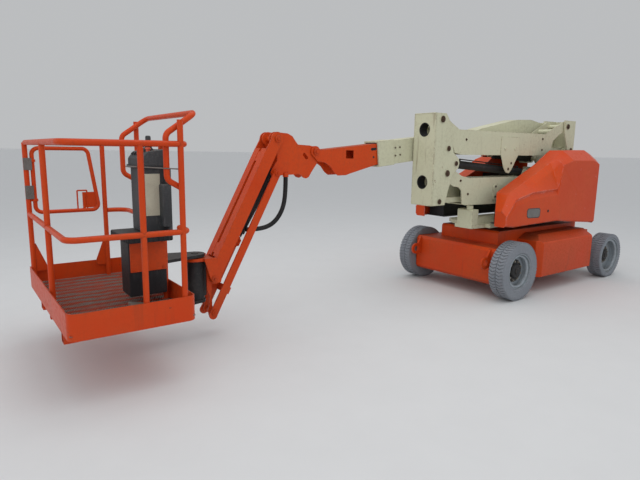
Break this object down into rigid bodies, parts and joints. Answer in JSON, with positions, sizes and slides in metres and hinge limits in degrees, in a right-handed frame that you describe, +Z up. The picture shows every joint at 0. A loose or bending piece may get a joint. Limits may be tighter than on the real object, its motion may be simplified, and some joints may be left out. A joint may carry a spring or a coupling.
{
  "type": "articulating boom lift",
  "caption": "Narrow electric articulating boom lift on wheels, with a folding parallelogram tower, telescoping boom, levelled jib and a railed work platform.",
  "frame": {"origin": "on the ground under the middle of the parked machine's bounding box", "axes": "+X forward from the counterweight to the platform, +Y to the machine's left, +Z up"},
  "size_m": [6.6645, 1.62, 1.9872],
  "materials": {
    "orange_paint": "worn gloss enamel",
    "orange_moulding": "faded gel coat",
    "cream_paint": "worn gloss enamel",
    "black_paint": "satin enamel",
    "chromed_rod": "ground and plated",
    "grey_tyre": "non-marking rubber",
    "rim_paint": "dusty enamel",
    "black_plastic": "grained moulding",
    "black_rubber": "ribbed sleeve"
  },
  "bodies": {
    "chassis": {"chassis_frame": "orange_paint", "battery_box_left": "orange_paint", "battery_box_right": "orange_paint", "front_hubs": "black_paint", "slew_ring": "black_paint", "rear_axle": "black_paint", "steer_cylinder": "black_paint"},
    "steering_rod": {"steer_rod": "chromed_rod"},
    "knuckle_left": {"knuckle_left": "black_paint"},
    "knuckle_right": {"knuckle_right": "black_paint"},
    "wheel_front_left": {"tyre_front_left": "grey_tyre", "rim_front_left": "rim_paint"},
    "wheel_front_right": {"tyre_front_right": "grey_tyre", "rim_front_right": "rim_paint"},
    "wheel_rear_left": {"tyre_rear_left": "grey_tyre", "rim_rear_left": "rim_paint"},
    "wheel_rear_right": {"tyre_rear_right": "grey_tyre", "rim_rear_right": "rim_paint"},
    "turntable": {"turntable_frame": "cream_paint", "counterweight": "cream_paint", "tray_units_left": "black_plastic", "tray_units_right": "black_plastic"},
    "hood_left": {"hood_left": "orange_moulding"},
    "hood_right": {"hood_right": "orange_moulding"},
    "lower_arm": {"lower_arm": "cream_paint", "lower_arm_box": "cream_paint"},
    "lower_link": {"lower_link": "cream_paint"},
    "upright": {"upright": "cream_paint", "upright_front": "cream_paint"},
    "upper_arm": {"upper_arm": "cream_paint", "upper_arm_box": "cream_paint"},
    "upper_link": {"upper_link": "cream_paint"},
    "boom_mount": {"boom_mount": "cream_paint"},
    "tower_barrel": {"tower_barrel": "black_paint"},
    "tower_ram": {"tower_ram": "chromed_rod"},
    "lift_barrel": {"lift_barrel": "black_paint"},
    "lift_ram": {"lift_ram": "chromed_rod"},
    "boom_base": {"boom_base": "cream_paint"},
    "boom_fly": {"boom_fly": "orange_paint"},
    "level_head": {"level_head": "orange_paint", "hose_loop": "black_rubber"},
    "jib_arm": {"jib_arm": "orange_paint"},
    "jib_link": {"jib_link": "orange_paint"},
    "jib_barrel": {"jib_barrel": "black_paint"},
    "jib_ram": {"jib_ram": "chromed_rod"},
    "jib_head": {"jib_head": "orange_paint", "jib_post": "black_paint"},
    "platform": {"rotator": "black_paint", "platform_tray": "orange_paint", "rail_top": "orange_paint", "rail_middle": "orange_paint", "rail_posts": "orange_paint", "console_guard": "orange_paint", "console_head": "black_plastic", "console_pedestal": "black_plastic", "console_shelf": "black_plastic", "console_cabinet": "black_plastic", "foot_switch": "black_plastic"},
    "gate": {"platform_gate": "orange_paint"}
  },
  "joints": [
    {"name": "slew", "type": "hinge", "parent": "chassis", "child": "turntable", "pos_m": [-2.05275, 0.06, 0.735], "axis": [0, 0, 1], "range_deg": [-180, 180]},
    {"name": "steer_left", "type": "hinge", "parent": "chassis", "child": "knuckle_left", "pos_m": [-3.05275, 0.58, 0.28], "axis": [0, 0, 1], "range_deg": [-35, 35]},
    {"name": "steer_right", "type": "hinge", "parent": "chassis", "child": "knuckle_right", "pos_m": [-3.05275, -0.46, 0.28], "axis": [0, 0, 1], "range_deg": [-35, 35]},
    {"name": "steer_slide", "type": "slide", "parent": "chassis", "child": "steering_rod", "axis": [0, 1, 0], "range_m": [-0.081, 0.081]},
    {"name": "wheel_front_left_spin", "type": "hinge", "parent": "chassis", "child": "wheel_front_left", "pos_m": [-1.05275, 0.721, 0.3175], "axis": [0, 1, 0], "continuous": true},
    {"name": "wheel_front_right_spin", "type": "hinge", "parent": "chassis", "child": "wheel_front_right", "pos_m": [-1.05275, -0.601, 0.3175], "axis": [0, 1, 0], "continuous": true},
    {"name": "wheel_rear_left_spin", "type": "hinge", "parent": "knuckle_left", "child": "wheel_rear_left", "pos_m": [-3.05275, 0.721, 0.2795], "axis": [0, 1, 0], "continuous": true},
    {"name": "wheel_rear_right_spin", "type": "hinge", "parent": "knuckle_right", "child": "wheel_rear_right", "pos_m": [-3.05275, -0.601, 0.2795], "axis": [0, 1, 0], "continuous": true},
    {"name": "hood_left_swing", "type": "hinge", "parent": "turntable", "child": "hood_left", "pos_m": [-2.75875, 0.405, 1.1], "axis": [0, 0, 1], "range_deg": [0, 100]},
    {"name": "hood_right_swing", "type": "hinge", "parent": "turntable", "child": "hood_right", "pos_m": [-2.75875, -0.285, 1.1], "axis": [0, 0, -1], "range_deg": [0, 100]},
    {"name": "tower_lift", "type": "hinge", "parent": "turntable", "child": "lower_arm", "pos_m": [-2.61275, 0.18, 1.32], "axis": [0, -1, 0], "range_deg": [0, 68]},
    {"name": "lower_link_swing", "type": "hinge", "parent": "turntable", "child": "lower_link", "pos_m": [-2.51275, 0.18, 1.032], "axis": [0, -1, 0], "range_deg": [0, 68]},
    {"name": "upright_level", "type": "hinge", "parent": "lower_arm", "child": "upright", "pos_m": [-0.36275, 0.18, 1.35], "axis": [0, -1, 0], "range_deg": [-68, 0]},
    {"name": "upper_arm_lift", "type": "hinge", "parent": "upright", "child": "upper_arm", "pos_m": [-0.25275, 0.18, 1.89], "axis": [0, -1, 0], "range_deg": [-68, 0]},
    {"name": "upper_link_swing", "type": "hinge", "parent": "upright", "child": "upper_link", "pos_m": [-0.36275, 0.18, 1.602], "axis": [0, -1, 0], "range_deg": [-68, 0]},
    {"name": "boom_mount_level", "type": "hinge", "parent": "upper_arm", "child": "boom_mount", "pos_m": [-2.61275, 0.18, 1.905], "axis": [0, -1, 0], "range_deg": [0, 68]},
    {"name": "tower_barrel_swing", "type": "hinge", "parent": "lower_arm", "child": "tower_barrel", "pos_m": [-1.89775, 0.18, 1.34], "axis": [0, -1, 0], "range_deg": [0, 1.62]},
    {"name": "tower_ram_slide", "type": "slide", "parent": "tower_barrel", "child": "tower_ram", "axis": [0.9969, 0, 0.0781], "range_m": [0, 0.1791]},
    {"name": "boom_lift", "type": "hinge", "parent": "boom_mount", "child": "boom_base", "pos_m": [-2.67275, -0.08, 1.85], "axis": [0, -1, 0], "range_deg": [0, 80]},
    {"name": "lift_barrel_swing", "type": "hinge", "parent": "boom_mount", "child": "lift_barrel", "pos_m": [-2.45275, -0.08, 1.5], "axis": [0, -1, 0], "range_deg": [0, 75.9]},
    {"name": "lift_ram_slide", "type": "slide", "parent": "lift_barrel", "child": "lift_ram", "axis": [0.9982, 0, 0.0597], "range_m": [0, 0.5254]},
    {"name": "boom_extend", "type": "slide", "parent": "boom_base", "child": "boom_fly", "axis": [0.9945, 0, -0.1045], "range_m": [0, 1.2]},
    {"name": "head_level", "type": "hinge", "parent": "boom_fly", "child": "level_head", "pos_m": [1.07225, -0.08, 1.552], "axis": [0, -1, 0], "range_deg": [-80, 0]},
    {"name": "jib_lift", "type": "hinge", "parent": "level_head", "child": "jib_arm", "pos_m": [1.49225, -0.08, 1.655], "axis": [0, -1, 0], "range_deg": [0, 130]},
    {"name": "jib_link_swing", "type": "hinge", "parent": "level_head", "child": "jib_link", "pos_m": [1.49225, -0.08, 1.365], "axis": [0, -1, 0], "range_deg": [0, 130]},
    {"name": "jib_barrel_swing", "type": "hinge", "parent": "level_head", "child": "jib_barrel", "pos_m": [1.49225, -0.08, 1.365], "axis": [0, -1, 0], "range_deg": [0, 127.04]},
    {"name": "jib_ram_slide", "type": "slide", "parent": "jib_barrel", "child": "jib_ram", "axis": [0.5278, 0, -0.8493], "range_m": [0, 0.524]},
    {"name": "jib_head_level", "type": "hinge", "parent": "jib_arm", "child": "jib_head", "pos_m": [2.10256, -0.08, 0.50717], "axis": [0, -1, 0], "range_deg": [-130, 0]},
    {"name": "platform_turn", "type": "hinge", "parent": "jib_head", "child": "platform", "pos_m": [2.22225, -0.08, 0.5], "axis": [0, 0, 1], "range_deg": [-90, 90]},
    {"name": "gate_swing", "type": "hinge", "parent": "platform", "child": "gate", "pos_m": [3.25925, -0.7827, 1.3], "axis": [0, 0, -1], "range_deg": [0, 90]}
  ],
  "couplings": [
    {"joint": "steer_right", "follows": "steer_left", "ratio": 1},
    {"joint": "steer_slide", "follows": "steer_left", "m_per_rad": -0.1315},
    {"joint": "lower_link_swing", "follows": "tower_lift", "ratio": 1},
    {"joint": "upright_level", "follows": "tower_lift", "ratio": -1},
    {"joint": "upper_arm_lift", "follows": "tower_lift", "ratio": -1},
    {"joint": "upper_link_swing", "follows": "tower_lift", "ratio": -1},
    {"joint": "boom_mount_level", "follows": "tower_lift", "ratio": 1},
    {"joint": "tower_barrel_swing", "follows": "tower_lift", "ratio": 0.023475},
    {"joint": "tower_ram_slide", "follows": "tower_lift", "m_per_rad": 0.15051},
    {"joint": "lift_barrel_swing", "follows": "boom_lift", "ratio": 0.94854},
    {"joint": "lift_ram_slide", "follows": "boom_lift", "m_per_rad": 0.37596},
    {"joint": "head_level", "follows": "boom_lift", "ratio": -1},
    {"joint": "jib_link_swing", "follows": "jib_lift", "ratio": 1},
    {"joint": "jib_barrel_swing", "follows": "jib_lift", "ratio": 0.9771},
    {"joint": "jib_ram_slide", "follows": "jib_lift", "m_per_rad": 0.23074},
    {"joint": "jib_head_level", "follows": "jib_lift", "ratio": -1}
  ]
}
